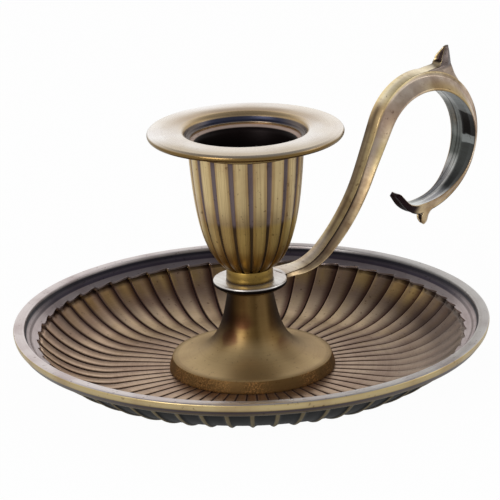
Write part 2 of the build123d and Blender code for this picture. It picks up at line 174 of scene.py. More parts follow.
class Finish:
    """A material being built. Its surface's coordinates are ready as x, y, z, radius and turn."""

    def __init__(self, name):
        self.material = bpy.data.materials.new(name)
        self.material.use_nodes = True
        self.tree = self.material.node_tree
        self.shader = self.tree.nodes["Principled BSDF"]
        place = self.node("ShaderNodeTexCoord", {}, {}, "Object")
        self.place = place
        self.x, self.y, self.z = (
            self.node("ShaderNodeSeparateXYZ", {}, {0: place}, axis) for axis in "XYZ"
        )
        self.radius = (self.x * self.x + self.y * self.y).maths("SQRT")
        self.turn = self.y.maths("ARCTAN2", self.x)

    def node(self, kind, settings, sockets, output=0):
        """Adds a node: its settings first, then values or links of its sockets."""
        node = self.tree.nodes.new(kind)
        for setting, value in settings.items():
            setattr(node, setting, value)
        for socket, value in sockets.items():
            if isinstance(value, Signal):
                self.tree.links.new(value.socket, node.inputs[socket])
            else:
                node.inputs[socket].default_value = value
        return Signal(self, node.outputs[output])

    def mix(self, share, first, second):
        """The first colour where share is 0 and the second where it is 1."""
        return self.node("ShaderNodeMix", {"data_type": "RGBA"}, {0: share, 6: first, 7: second}, 2)

    def tint(self, share, first, second):
        """The first colour multiplied by the second as far as share says."""
        settings = {"data_type": "RGBA", "blend_type": "MULTIPLY"}
        return self.node("ShaderNodeMix", settings, {0: share, 6: first, 7: second}, 2)

    def vector(self, x, y, z):
        """Coordinates for a noise from three numbers or signals."""
        return self.node("ShaderNodeCombineXYZ", {}, {0: x, 1: y, 2: z})

    def toward(self, way):
        """How far a point lies in a direction of the plan: x times one part, y times the other."""
        return self.x * way[0] + self.y * way[1]

    def stored(self, name):
        """A number that is stored on the mesh under that name."""
        return self.node("ShaderNodeAttribute", {"attribute_name": name}, {}, "Fac")

    def encircle(self, around, up):
        """Coordinates that run round the axis without a seam: a circle of that size, and a height."""
        return self.vector(self.x / self.radius * around, self.y / self.radius * around, up)

    def noise(self, where, scale, detail=3.0, rough=0.5):
        """Cloudy noise about 0.5, in the coordinates that are given."""
        sockets = {"Vector": where, "Scale": scale, "Detail": detail, "Roughness": rough}
        return self.node("ShaderNodeTexNoise", {}, sockets, "Fac")

    def feed(self, socket, value):
        """Puts a number, colour or signal on a socket of the main shader."""
        if isinstance(value, Signal):
            self.tree.links.new(value.socket, self.shader.inputs[socket])
        else:
            self.shader.inputs[socket].default_value = value

    def bump(self, height, strength, distance):
        """A Bump node from a height signal, fed to the Normal socket."""
        sockets = {"Height": height, "Strength": strength, "Distance": distance}
        self.feed("Normal", self.node("ShaderNodeBump", {}, sockets, "Normal"))


print("right and back are square:", round(float(np.dot(to_the_right, to_the_back)), 3) == 0)

# %% [markdown]
# ## The studio
# The photograph is a cut-out on white. Its level surfaces mirror a white backdrop behind the
# object and its front mirrors a white table, while the hollows that look up are almost black. So
# the room is white round the horizon and dark, a little blue, overhead. Metal shows little but its
# surroundings, and this one gradient in the world gives the brass most of its modelling.

# %% World
world = bpy.data.worlds.new("studio_world")
bpy.context.scene.world = world
world.use_nodes = True
world_tree = world.node_tree
world_tree.nodes.clear()


def world_node(kind, sockets, output=0, **settings):
    """The same as Finish.node, for the world's own tree."""
    node = world_tree.nodes.new(kind)
    for setting, value in settings.items():
        setattr(node, setting, value)
    for socket, value in sockets.items():
        if isinstance(value, bpy.types.NodeSocket):
            world_tree.links.new(value, node.inputs[socket])
        else:
            node.inputs[socket].default_value = value
    return node.outputs[output]


def world_step(value, low, high, at_low, at_high):
    """A soft step of the world's light, from one level to another."""
    sockets = {0: value, 1: low, 2: high, 3: at_low, 4: at_high}
    return world_node("ShaderNodeMapRange", sockets, interpolation_type="SMOOTHSTEP")


pure_white = (1.0, 1.0, 1.0, 1.0)
ceiling_blue = (0.30, 0.31, 0.35, 1.0)
direction = world_node("ShaderNodeTexCoord", {}, "Generated")
height = world_node("ShaderNodeSeparateXYZ", {0: direction}, "Z")
level_ahead = (ahead.x, ahead.y, 0.0)
behind = world_node(
    "ShaderNodeVectorMath", {0: direction, 1: level_ahead}, "Value", operation="DOT_PRODUCT"
)
side_glow = world_step(behind, -0.9, 0.3, 0.62, 1.0)
height_glow = world_step(height, 0.42, 0.86, 1.0, 0.0)
room_sockets = {0: height_glow, 6: ceiling_blue, 7: pure_white}
room_colour = world_node("ShaderNodeMix", room_sockets, 2, data_type="RGBA")
room = world_node("ShaderNodeBackground", {0: room_colour, 1: side_glow})
white = world_node("ShaderNodeBackground", {0: pure_white, 1: 1.0})
seen = world_node("ShaderNodeLightPath", {}, "Is Camera Ray")
shown = world_node("ShaderNodeMixShader", {0: seen, 1: room, 2: white})
world_end = world_tree.nodes.new("ShaderNodeOutputWorld")
world_tree.links.new(shown, world_end.inputs["Surface"])
bpy.context.scene.view_settings.view_transform = "Standard"
print("world of", len(world_tree.nodes), "nodes")

# %% [markdown]
# ### The table
# A plain pale floor takes the object's shadow. To the camera it glows almost white, so it joins the
# background without a line, and to a mirroring surface about half as much. More lamps would bleach
# the object too, so the floor's material adds the glow for those two kinds of ray alone.

# %% Floor
floor_reach = 3
floor_corners = [(x * floor_reach, y * floor_reach, 0) for x, y in ((-1, -1), (1, -1), (1, 1), (-1, 1))]
floor_mesh = bpy.data.meshes.new("floor")
floor_mesh.from_pydata(floor_corners, [], [(0, 1, 2, 3)])
floor = bpy.data.objects.new("floor", floor_mesh)
bpy.context.scene.collection.objects.link(floor)

floor_finish = Finish("pale_floor")
floor_finish.feed("Base Color", (0.8, 0.8, 0.8, 1.0))
floor_finish.feed("Roughness", 0.9)
floor_seen = floor_finish.node("ShaderNodeLightPath", {}, {}, "Is Camera Ray")
floor_mirrored = floor_finish.node("ShaderNodeLightPath", {}, {}, "Is Glossy Ray")
floor_glow = floor_finish.node("ShaderNodeEmission", {}, {0: pure_white, 1: 1.0})
floor_matt = Signal(floor_finish, floor_finish.shader.outputs[0])
floor_share = floor_seen * 0.975 + floor_mirrored * 0.45
floor_sockets = {0: floor_share, 1: floor_matt, 2: floor_glow}
floor_mix = floor_finish.node("ShaderNodeMixShader", {}, floor_sockets)
floor_end = floor_finish.tree.nodes["Material Output"]
floor_finish.tree.links.new(floor_mix.socket, floor_end.inputs["Surface"])
floor_mesh.materials.append(floor_finish.material)
print("floor", tuple(floor.dimensions))

# %% [markdown]
# ### Two lamps
# The world does most of the work. A large lamp on the left gives the rounded edges their bright
# lines and the object its soft shadow, and a weak one on the right opens the shaded side.

# %% Lamps
def softbox(name, place, aim, width, height, power):
    """An area lamp at a place, turned towards a point."""
    lamp = bpy.data.lights.new(name, "AREA")
    lamp.shape = "RECTANGLE"
    lamp.size, lamp.size_y, lamp.energy = width, height, power
    piece = bpy.data.objects.new(name, lamp)
    piece.location = place
    piece.rotation_euler = (Vector(aim) - Vector(place)).to_track_quat("-Z", "Y").to_euler()
    bpy.context.scene.collection.objects.link(piece)
    print(name, "at", place, "of", power, "W")


middle_of_object = (0, 0, 0.03)
softbox("key_left", (-1.05, -0.35, 0.42), middle_of_object, 0.6, 0.5, 6.0)
softbox("fill_right", (0.85, -0.75, 0.40), middle_of_object, 0.5, 0.4, 1.0)

# %% [markdown]
# ## Surfaces from profiles
# Almost every piece is turned on a lathe, so its skin is a profile carried round the axis. The
# profile is drawn as a few corners with a reach each: the reach says how far before and after the
# corner the rounding starts. A rational quadratic curve through such a corner is an exact arc of a
# circle, so the same helper draws broad hollows and tiny softened edges.

# %% Rounded outlines
def arc_corner(before, corner, after, reach, count):
    """Count points of the circular arc that rounds a corner, starting and ending at that reach.
    With legs a and b it is (a(1-t)^2 + 2wct(1-t) + bt^2) / ((1-t)^2 + 2wt(1-t) + t^2), and the
    weight w of the corner c is the sine of half the angle between the legs."""
    corner = np.asarray(corner, float)
    back_leg = np.asarray(before, float) - corner
    next_leg = np.asarray(after, float) - corner
    back_leg = back_leg / np.linalg.norm(back_leg)
    next_leg = next_leg / np.linalg.norm(next_leg)
    weight = math.sqrt(max(0.0, (1 - float(back_leg @ next_leg)) / 2))
    t = np.linspace(0, 1, count)[:, None]
    start, end = corner + back_leg * reach, corner + next_leg * reach
    top = start * (1 - t) ** 2 + 2 * weight * corner * t * (1 - t) + end * t**2
    return top / ((1 - t) ** 2 + 2 * weight * t * (1 - t) + t**2)


def outline(corners):
    """A closed outline from rows (across, up, reach, count). A row with no reach is one point."""
    places = [row[:2] for row in corners]
    parts = []
    for index, (across_mm, up_mm, reach, count) in enumerate(corners):
        if reach == 0:
            parts.append(np.array([(across_mm, up_mm)], float))
        else:
            before, after = places[index - 1], places[(index + 1) % len(places)]
            parts.append(arc_corner(before, places[index], after, reach, count))
    return np.concatenate(parts)


def outline_normals(points):
    """Unit normals of a closed outline that runs anticlockwise, pointing out of it: the line
    between each point's two neighbours, turned by a quarter."""
    along = np.roll(points, -1, 0) - np.roll(points, 1, 0)
    out = np.stack((along[:, 1], -along[:, 0]), 1)
    return out / np.linalg.norm(out, axis=1)[:, None]


quarter = arc_corner((0, 2), (0, 0), (2, 0), 1.0, 3)
print("a rounded corner passes", round(float(np.hypot(*(quarter[1] - 1))), 3), "from its centre")

# %% [markdown]
# ### Grids become meshes
# A turned or swept piece is a grid of points, so its faces need no thought: each point makes a quad
# with its neighbours. The arrays go into the mesh at once, which is far quicker than adding faces
# one by one. Numbers can be stored on the points too, so that a finish knows the inside of a cup
# from its outside.

# %% Skins
mm = 0.001


def skin(name, grid, materials, closed=(True, True)):
    """A mesh piece from a grid of points (rows, columns, 3) in mm. Quads join each point to its
    neighbours, round the ends too where closed says so."""
    rows, columns = grid.shape[:2]
    row, column = np.meshgrid(
        np.arange(rows if closed[0] else rows - 1),
        np.arange(columns if closed[1] else columns - 1),
        indexing="ij",
    )
    next_row, next_column = (row + 1) % rows, (column + 1) % columns
    quad = (row, column), (row, next_column), (next_row, next_column), (next_row, column)
    quads = np.stack([at_row * columns + at_column for at_row, at_column in quad], -1).reshape(-1, 4)
    mesh = bpy.data.meshes.new(name)
    mesh.vertices.add(rows * columns)
    mesh.vertices.foreach_set("co", (grid * mm).ravel())
    mesh.loops.add(quads.size)
    mesh.loops.foreach_set("vertex_index", quads.ravel())
    mesh.polygons.add(len(quads))
    mesh.polygons.foreach_set("loop_start", np.arange(len(quads)) * 4)
    mesh.polygons.foreach_set("use_smooth", np.ones(len(quads), bool))
    mesh.update(calc_edges=True)
    mesh.validate()
    for material in materials:
        mesh.materials.append(material)
    piece = bpy.data.objects.new(name, mesh)
    bpy.context.scene.collection.objects.link(piece)
    print(name, rows, "x", columns, "points,", len(quads) * 2, "triangles")
    return piece


def weld(piece):
    """Joins the points that lie on one another at a pole, so that the mesh is closed there."""
    work = bmesh.new()
    work.from_mesh(piece.data)
    bmesh.ops.remove_doubles(work, verts=work.verts, dist=1e-7)
    work.to_mesh(piece.data)
    work.free()


def mark(piece, name, values):
    """Stores a number on every point of a piece, for its material to read. Values are those of
    the grid's points, or one for each row, which then goes to every point of the row."""
    every = np.repeat(values, len(piece.data.vertices) // np.size(values))
    layer = piece.data.attributes.new(name, "FLOAT", "POINT")
    layer.data.foreach_set("value", every.astype(np.float32))


def turned(points, angles):
    """Carries an outline (across, up) round the Z axis: (across cos a, across sin a, up)."""
    across_mm, up_mm = points[..., 0], points[..., 1]
    return np.stack((across_mm * np.cos(angles), across_mm * np.sin(angles), up_mm + 0 * angles), -1)


def turned_skin(name, points, count, material):
    """A plain turned piece: its outline carried round the axis in count equal turns."""
    angles = np.arange(count) * (2 * math.pi / count)
    return skin(name, turned(points[:, None, :], angles[None, :]), [material])


def fluted_angles(count, first, steps):
    """Angles of count equal pitches, each sampled at the same steps of a pitch: first + 2 pi
    (k + step) / count. Its second value is each angle's own step."""
    pitch = 2 * math.pi / count
    return first + pitch * (np.arange(count)[:, None] + steps).ravel(), np.tile(steps, count)


def soft_step(value, low, high):
    """0 before low, 1 past high and t*t*(3-2t) between them; high may be the lower number."""
    t = np.clip((value - low) / (high - low), 0, 1)
    return t * t * (3 - 2 * t)


print("half way, a soft step stands at", float(soft_step(0.5, 0, 1)))

# %% [markdown]
# ## The dish
# The dish is pressed brass with fifty-seven grooves inside and a ring of ribs under the wall.
# Both could be cut with booleans, which leave ragged triangles and hard edges. Here the skin is
# pushed in along its own normal by a smooth amount, which depends on the angle within one pitch
# and on the place along the profile, so every groove gets the soft shoulders of a pressed one.

# %% Dish: sizes and outline
tray_flutes = 57
tray_pitch = 2 * math.pi / tray_flutes
tray_groove_at = math.radians(2.45)
rib_shift = 0.59

# across, up, reach of the rounding and its count: outward over the top, then back underneath
tray_corners = [
    (2.15, 6.6, 0.15, 2),
    (6.0, 6.6, 0.7, 4),
    (8.0, 1.0, 1.0, 4),
    (14.0, 1.0, 0, 1),
    (17.0, 1.0, 0, 1),
    (17.8, 1.0, 0, 1),
    (18.6, 1.0, 0, 1),
    (21.0, 1.0, 0, 1),
    (24.0, 1.0, 0, 1),
    (27.5, 1.0, 0, 1),
    (41.72, 1.0, 10.5, 16),
    (48.2, 9.3, 0.12, 3),
    (48.2, 9.65, 0.12, 3),
    (49.8, 10.15, 0.5, 4),
    (50.45, 11.2, 0.2, 3),
    (50.95, 11.25, 0.2, 3),
    (51.35, 11.75, 0.1, 2),
    (51.5, 12.5, 0.15, 3),
    (54.0, 12.5, 0.45, 6),
    (53.7, 11.0, 0.3, 4),
    (53.0, 10.1, 0.5, 4),
    (52.5, 9.4, 0.2, 3),
    (50.9, 9.4, 0.25, 3),
    (42.6, 0.0, 11.9, 18),
    (29.5, 0.0, 0, 1),
    (20.0, 0.0, 0, 1),
    (7.0, 0.0, 0.3, 3),
    (5.0, 5.6, 0.5, 4),
    (2.15, 5.6, 0.1, 2),
]
tray_outline = outline(tray_corners)[::-1]
print("dish outline", len(tray_outline), "points, one groove each", round(360 / tray_flutes, 2), "degrees")

# %% [markdown]
# ### Grooves, tilted lands and sunk panels
# Three waves run round the dish with the same pitch. The groove is a narrow dent of the same width
# everywhere, so it is measured in mm along the circle. Each land between two grooves tilts a
# little to its neighbour, which is what makes one side of every groove catch the light. Outside,
# the wall sinks between the ribs, and the ribs stand a little more than half a pitch on.

# %% Dish: angles of one pitch
# One pitch is sampled more closely where the groove and the rib's two shoulders lie.
pitch_steps = np.array([
    0.0, 0.03, 0.06, 0.09, 0.12, 0.18, 0.28, 0.38, 0.435, 0.47,
    0.51, 0.59, 0.67, 0.71, 0.745, 0.82, 0.88, 0.91, 0.94, 0.97,
])
tray_angles, pitch_place = fluted_angles(tray_flutes, tray_groove_at, pitch_steps)
groove_away = np.minimum(pitch_place, 1 - pitch_place)
rib_away = np.abs(pitch_place - rib_shift)
rib_away = np.minimum(rib_away, 1 - rib_away)
print(len(tray_angles), "angles round the dish")

# %% Dish: where the profile is grooved
across_mm, up_mm = tray_outline[:, 0], tray_outline[:, 1]
top_side = np.arange(len(across_mm)) > np.argmax(across_mm)
flute = top_side & (across_mm > 16) & (across_mm < 48.3) & (up_mm < 9.45)
# At the ledge the grooves go on straight, so its corner takes the normal of the wall under it.
normals = outline_normals(tray_outline)
steep = normals[flute & (across_mm < 47.5)][0]
normals = np.where((flute & (across_mm > 47.5))[:, None], steep, normals)
print(int(flute.sum()), "of its points are fluted")

# %% Dish: how far the skin is pushed in
groove_start, groove_deeper, tilt_most, panel_most = 0.12, 0.25, 0.28, 0.45
groove_depth = groove_start + groove_deeper * soft_step(across_mm, 20, 34)
groove_depth = flute * groove_depth * soft_step(across_mm, 16.6, 18.2)
tilt_depth = flute * tilt_most * soft_step(across_mm, 24, 40)
outside_face = ~top_side & (up_mm < 9.0)
panel_share = outside_face * soft_step(across_mm, 31.5, 35.5) * soft_step(up_mm, 9.3, 8.9)

groove_gap = groove_away[None, :] * tray_pitch * across_mm[:, None]
groove_wave = 1 - soft_step(groove_gap, 0.03, 0.35)
tilt_wave = 1 - soft_step(pitch_place, 0.0, 0.7)
panel_wave = soft_step(rib_away, 0.0, 0.2)
push = groove_depth[:, None] * groove_wave + tilt_depth[:, None] * tilt_wave
push = push + panel_most * panel_share[:, None] * panel_wave
print("deepest groove", round(float(groove_depth.max()), 2), "mm, deepest panel", panel_most, "mm")


# %% Dish: skin
def pushed_in(points, normals, push):
    """Rings from an outline: at every angle, its point less its normal times the push there."""
    return points[:, None, :] - normals[:, None, :] * push[..., None]


# Each land ends on a slant, so the ledge's inner edge is a row of small teeth.
tooth_reach, tooth_rise = 0.5, 0.31
ledge_edge = top_side & (across_mm > 47.9) & (across_mm < 48.5) & (up_mm < 9.9)
tooth = tooth_reach * ledge_edge[:, None] * tilt_wave
tray_rings = pushed_in(tray_outline, normals, push)
tray_rings += tooth[..., None] * np.array((1, tooth_rise))
tray_grid = turned(tray_rings, tray_angles)
print("dish grid", tray_grid.shape)

# %% [markdown]
# ## Aged brass
# The real finish is brass darkened with a patina and then rubbed back, so the high places are
# golden and the hollows stay dark. One function makes that finish: it stains a colour with clouds,
# grit and specks, and gives the surface fine brush marks. Each piece hands in its own colour, a
# mask of what is rubbed bright, and a brushing direction, because those follow its shape.


# %% Aged brass finish
def aged_brass(finish, colour, worn, brushing, rough=0.24, stain=0.35, depth=0.00001):
    """Finishes brass of a colour signal. Worn is 1 where it is rubbed bright, and there the metal
    is as rough as rough says: the grit and the clouds add 0.1 to it on average, so 0.1 is taken
    off. Patina is rougher by 0.2 and less metallic. Depth is that of the brush marks in metres."""
    clouds = finish.noise(finish.place, 110.0, 4.0)
    specks = finish.noise(finish.place, 1100.0, 2.0)
    grit = finish.noise(brushing, 1.0, 3.0, 0.6)
    colour = colour.stained(clouds.smooth(0.42, 0.70) * stain, 178, 150, 150)
    colour = colour.stained(grit.smooth(0.41, 0.69) * stain * 0.57, 196, 182, 165)
    colour = colour.stained(specks.smooth(0.64, 0.74) * stain * 1.57, 130, 108, 95)
    finish.feed("Base Color", colour)
    finish.feed("Metallic", worn * 0.95)
    finish.feed("Roughness", (1 - worn) * 0.2 + grit * 0.12 + clouds * 0.08 + (rough - 0.1))
    finish.feed("Specular IOR Level", 0.08)
    finish.bump(grit + specks * 0.5, 0.3, depth)
    print(finish.material.name, len(finish.tree.nodes), "nodes")
    return finish.material


def turned_brushing(finish):
    """Coordinates for noise in rings round the axis, as lathe marks are: they change along the
    radius and the height but not with the turn."""
    lathe_marks = 2600
    return finish.vector(finish.radius * lathe_marks, 0.0, finish.z * lathe_marks)


# %% [markdown]
# ### Colours of the dish
# The lands between the grooves are tan, greyer at the right and lighter at the left by painted
# light, with painted light on their inner part at the back, a painted gold reflection and painted
# shade at their outer ends at the back, and painted shade purple on one side of every groove. The
# rim is rubbed bright, with painted light on its left. The hollow moulding inside it and the sunk
# panels outside kept their blue-black patina, and the moulding, like the ledge, takes painted light
# and shade: darker at the back, lighter elsewhere. The ribs between the panels are olive brown.
# Which side of the sheet a point is on is stored on the mesh; the rest follows from its radius, its
# height, its angle within one pitch and how far right or back it lies. Those lengths are in
# metres, so smooth(0.0430, 0.0470) is a step from 43 to 47 mm.

# %% Dish finish: where things are
dish_finish = Finish("dish_brass")
dish_radius, dish_height = dish_finish.radius, dish_finish.z
outside, sunk = dish_finish.stored("outside"), dish_finish.stored("sunk")
to_right, to_back = dish_finish.toward(to_the_right), dish_finish.toward(to_the_back)
dish_pitch = ((dish_finish.turn - tray_groove_at) / tray_pitch).fraction()
fluted = dish_radius.band(0.017, 0.0482, 0.0004)
groove_off = dish_pitch.to_whole() * dish_radius * tray_pitch
groove_line = groove_off.smooth(0.00038, 0.00013) * fluted
cove = dish_radius.band(0.0499, 0.0514, 0.0001)
print("a groove's dark line ends 0.38 mm from its middle")

# %% Dish finish: lands and grooves
# Painted light: the lands are greyer at the right and lighter at the left.
land = dish_finish.tint(to_right.smooth(0.01, 0.045), paint(194, 165, 137), paint(196, 200, 206))
land = land.over(to_right.smooth(-0.02, -0.04) * 0.5, 232, 200, 168)
# Random gold mottle, laid on the back only as a painted reflection.
mottle = dish_finish.noise(dish_finish.place, 190.0, 3.0).smooth(0.46, 0.66)
land = land.over(mottle * to_back.smooth(0.0, 0.02) * 0.3, 190, 160, 104)
# Painted shade on the lands' outer ends, at the back and less at the right.
end_shade_sides = to_back.smooth(-0.010, 0.015) + to_right.smooth(0.025, 0.045) * 0.4
land = land.stained(dish_radius.smooth(0.0380, 0.0435) * end_shade_sides * 0.75, 162, 153, 151)
# Painted reflection: cloudy gold on the lands' outer ends at the back.
land_cloud = dish_finish.noise(dish_finish.encircle(9.0, dish_radius * 60), 1.0, 3.0)
end_gold_reflection = dish_radius.smooth(0.0430, 0.0470) * land_cloud.smooth(0.35, 0.6)
land = land.over(end_gold_reflection * to_back.smooth(0.012, 0.030) * 0.8, 172, 142, 88)
# Painted shade on the outer ends at the back left.
end_dark_shade = dish_radius.smooth(0.0415, 0.0470) * to_back.smooth(0.004, 0.016)
land = land.stained(end_dark_shade * to_right.smooth(-0.020, -0.034) * 0.7, 168, 156, 150)
# Painted light on the inner part of the lands at the back.
waist_light = dish_radius.smooth(0.0450, 0.0320) * to_back.smooth(0.014, 0.030)
land = land.over(waist_light * 0.6, 250, 222, 176)
shade_side = dish_pitch.smooth(0.5, 0.08) * (to_back.smooth(-0.01, 0.03) * 0.5 + 0.35)
land = land.stained(shade_side, 112, 78, 86)
land = land.over(groove_line, 54, 36, 32)
print("lands and grooves coloured")

# %% Dish finish: ledge, moulding and rim
ledge_shade = to_back.smooth(0.004, 0.020) * 0.8
ledge_tone = dish_finish.tint(ledge_shade, paint(182, 168, 166), paint(150, 150, 150))
lit_cove = to_back.smooth(0.022, -0.002)
cove_tone = lit_cove.between((54, 48, 58), (162, 150, 148))
bead = dish_radius.band(0.0503, 0.0509, 0.0001)
bead_tone = lit_cove.between((66, 60, 66), (190, 176, 174))
# Painted light: the rim is lighter at the left and greyer at the right.
rim_lit_side = to_right.smooth(-0.052, 0.050)
rim_tone = rim_lit_side.between((222, 211, 208), (186, 182, 178))
inner = land.over(dish_height.smooth(0.0091, 0.0093), ledge_tone)
inner = inner.over(cove, cove_tone)
inner = inner.over(dish_radius.smooth(0.0509, 0.0511), 40, 38, 44)
inner = inner.over(bead, bead_tone)
inner = inner.over(dish_radius.smooth(0.0513, 0.0516), rim_tone)
print("moulding from 49.9 to 51.4 mm, rim beyond it")

# %% Dish finish: outer wall
panel = 1 - abs(dish_pitch - rib_shift).smooth(0.11, 0.05)
wall = (panel * sunk.smooth(0.0, 0.05)).between((118, 106, 78), (10, 12, 13))
wall = wall.over(dish_height.smooth(0.0090, 0.0094), 96, 84, 66)
wall = wall.over(dish_height.band(0.0101, 0.0107, 0.0002), 70, 58, 62)
wall = wall.over(dish_height.smooth(0.0107, 0.0111), 196, 176, 128)
dish_colour = inner.over(outside, wall)
inside = 1 - outside
dish_worn = 1 - groove_line * inside * 0.8 - sunk * 0.9 - cove * inside * 0.4
dish_brass = aged_brass(dish_finish, dish_colour, dish_worn, turned_brushing(dish_finish), 0.34)

# %% Dish
tray_skin = skin("tray_skin", tray_grid, [dish_brass])
rim_edge = soft_step(across_mm, 53.6, 53.8) * (up_mm < 12.4)
under_wall = (normals[:, 1] < 0.15) * (up_mm < 11.2) * (across_mm > 15)
mark(tray_skin, "outside", np.clip(rim_edge + under_wall, 0, 1))
mark(tray_skin, "sunk", panel_share)
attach(tray_skin, "root")
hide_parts("tray")

# %% [markdown]
# ## The foot
# The bell foot is a hollow casting on a short step, with a small plate for the collar at its top.
# Its bell is one cubic curve, the one that the CAD has, which runs smoother than a row of arcs.


# %% Foot: outline
def bell(start, first_pull, second_pull, end, count):
    """Points of a cubic Bezier curve: a(1-t)^3 + 3bt(1-t)^2 + 3ct^2(1-t) + dt^3."""
    t = np.linspace(0, 1, count)[:, None]
    a, b, c, d = (np.array(point, float) for point in (start, first_pull, second_pull, end))
    return a * (1 - t) ** 3 + 3 * b * t * (1 - t) ** 2 + 3 * c * t**2 * (1 - t) + d * t**3


foot_out = bell((18.1, 3.8), (7.358, 4.6075), (6.572, 11.0675), (5.0, 19.95), 40)
foot_in = bell((3.4, 17.45), (4.996, 9.5025), (5.794, 3.7225), (16.7, 3.0), 16)
foot_low = [
    (16.7, 1.0), (18.78, 1.0), (18.9, 1.12), (18.85, 1.6), (18.5, 2.7), (18.3, 3.3), (18.18, 3.62),
]
foot_plate = [
    (5.25, 20.0), (6.6, 20.0), (7.05, 20.02), (7.2, 20.15), (7.2, 20.5), (7.1, 20.65),
    (2.15, 20.65), (2.15, 17.45),
]
foot_points = np.concatenate((foot_low, foot_out, foot_plate, foot_in))
print("foot outline", len(foot_points), "points")

# %% [markdown]
# ### Colours of the foot
# The foot is dark gold, with painted highlights in two upright bands beside its middle, and painted
# light where it flares out over the dish. Painted shade darkens its upper bell at the left and at
# both edges. The step at its bottom is browner, with coppery spots, and a faint mauve blush lies on
# the bell in patches.

# %% Foot finish
foot_finish = Finish("foot_brass")
foot_streak = foot_finish.noise(foot_finish.encircle(1.6, foot_finish.z * 25), 1.0, 2.0)
foot_across = foot_finish.toward(to_the_right)
foot_side = abs(foot_across) / foot_finish.radius
# Painted highlights in two upright bands beside the middle, with random streaks.
highlight_and_streaks = foot_side.band(0.25, 0.62, 0.12) * 0.75 + foot_streak.smooth(0.35, 0.65) * 0.25
# Painted shade on the upper bell at the left.
foot_left_shade = foot_finish.z.smooth(0.0105, 0.0145) * foot_across.smooth(-0.0002, -0.0016)
foot_colour = (highlight_and_streaks * (1 - foot_left_shade)).between((94, 72, 40), (132, 106, 66))
# Painted light low on the bell where it flares out over the dish, reaching higher at its edges.
flare_light = foot_finish.z + foot_side.smooth(0.5, 0.8) * 0.0012 + (foot_streak - 0.5) * 0.003
foot_colour = foot_colour.over(flare_light.smooth(0.0105, 0.0045) * 0.85, 214, 184, 132)
foot_colour = foot_colour.stained(foot_left_shade * 0.7, 150, 136, 132)
# Painted shade at both edges of the upper bell.
foot_edge_shade = foot_finish.z.smooth(0.0085, 0.0125) * abs(foot_across).smooth(0.0030, 0.0046)
foot_colour = foot_colour.stained(foot_edge_shade * 0.85, 150, 136, 132)
spots = foot_finish.noise(foot_finish.place, 3200.0, 2.0).smooth(0.46, 0.62)
spotted = foot_finish.noise(foot_finish.encircle(2.2, 0.0), 1.0, 1.0).smooth(0.38, 0.6)
step_tone = (spots * spotted).between((106, 80, 46), (158, 116, 68))
foot_step = foot_finish.z.smooth(0.0040, 0.0036)
foot_colour = foot_colour.over(foot_step, step_tone)
foot_colour = foot_colour.over(foot_finish.z.band(0.0194, 0.0200, 0.0003), 40, 30, 25)
blush = foot_finish.noise(foot_finish.place, 140.0, 1.0).smooth(0.52, 0.62)
foot_colour = foot_colour.stained(blush * foot_finish.z.band(0.008, 0.015, 0.002) * 0.6, 176, 110, 150)
foot_worn = 1 - foot_step * 0.5
foot_brass = aged_brass(foot_finish, foot_colour, foot_worn, turned_brushing(foot_finish), 0.44, 0.22)

# %% Foot
foot_skin = turned_skin("foot_skin", foot_points, 192, foot_brass)
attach(foot_skin, "root")
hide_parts("foot")

# %% [markdown]
# ## The neck ring
# A plain turned band parts the collar of the loop from the cup. Its brass is a clearer yellow,
# with a dark line of dirt where it meets the collar.

# %% Neck ring
ring_points = outline([
    (2.15, 21.9, 0.05, 2), (5.35, 21.9, 0.15, 3), (5.25, 24.7, 0.15, 3), (2.15, 24.7, 0.05, 2),
])
ring_finish = Finish("ring_brass")
ring_dirt = ring_finish.z.band(0.0218, 0.0223, 0.0003)
ring_colour = ring_dirt.between((142, 116, 60), (80, 60, 28))
ring_worn = ring_finish.z.smooth(0.0215, 0.0225)
ring_brass = aged_brass(ring_finish, ring_colour, ring_worn, turned_brushing(ring_finish), 0.40)
ring_skin = turned_skin("neck_ring_skin", ring_points, 96, ring_brass)
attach(ring_skin, "root")
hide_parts("neck_ring")

# %% [markdown]
# ## The drip flange
# A broad flat ring lies round the mouth of the cup and catches wax. Its two outer corners are
# rounded until they nearly meet in a half circle, and its throat sinks to the cup's lip. It is the
# brightest piece: almost white on its top, with a painted warm reflection near the throat at the
# back, a painted light at the back of its mouth, and painted shade at its front edge and the middle
# of its back. The throat itself is blue-black, partly patina and partly painted shade, and painted
# lighter at its sides.

# %% Drip flange: outline
flange_points = outline([
    (12.4, 54.5, 0.1, 2),
    (13.25, 54.5, 0, 1),
    (13.25, 52.9, 0.1, 2),
    (14.45, 52.9, 0.25, 3),
    (14.45, 55.4, 0.5, 4),
    (22.0, 55.4, 0.78, 7),
    (22.0, 57.0, 0.78, 7),
    (13.9, 57.0, 1.2, 8),
    (13.35, 55.2, 0.2, 3),
    (12.4, 55.2, 0.1, 2),
])
print("flange outline", len(flange_points), "points")

# %% Drip flange: finish
flange_finish = Finish("flange_brass")
flange_radius = flange_finish.radius
flange_right, flange_back = flange_finish.toward(to_the_right), flange_finish.toward(to_the_back)
flange_tone = flange_finish.noise(flange_finish.encircle(1.0, flange_radius * 120), 1.0, 2.0)
flange_tone = flange_tone.smooth(0.35, 0.65)
flange_colour = flange_tone.between((252, 248, 244), (238, 228, 214))
flange_colour = flange_colour.over(flange_finish.z.smooth(0.0569, 0.0564), 150, 128, 86)
back_half = flange_back.smooth(-0.004, 0.014)
# Painted reflection: warmer near the throat, most at the back.
warm_reflection = flange_radius.smooth(0.0212, 0.0155) * (0.16 + back_half * 0.84)
flange_colour = flange_colour.stained(warm_reflection, 176, 150, 110)
mouth_light = flange_radius.smooth(0.0153, 0.0146) * back_half * 0.6
flange_colour = flange_colour.over(mouth_light, 226, 198, 152)
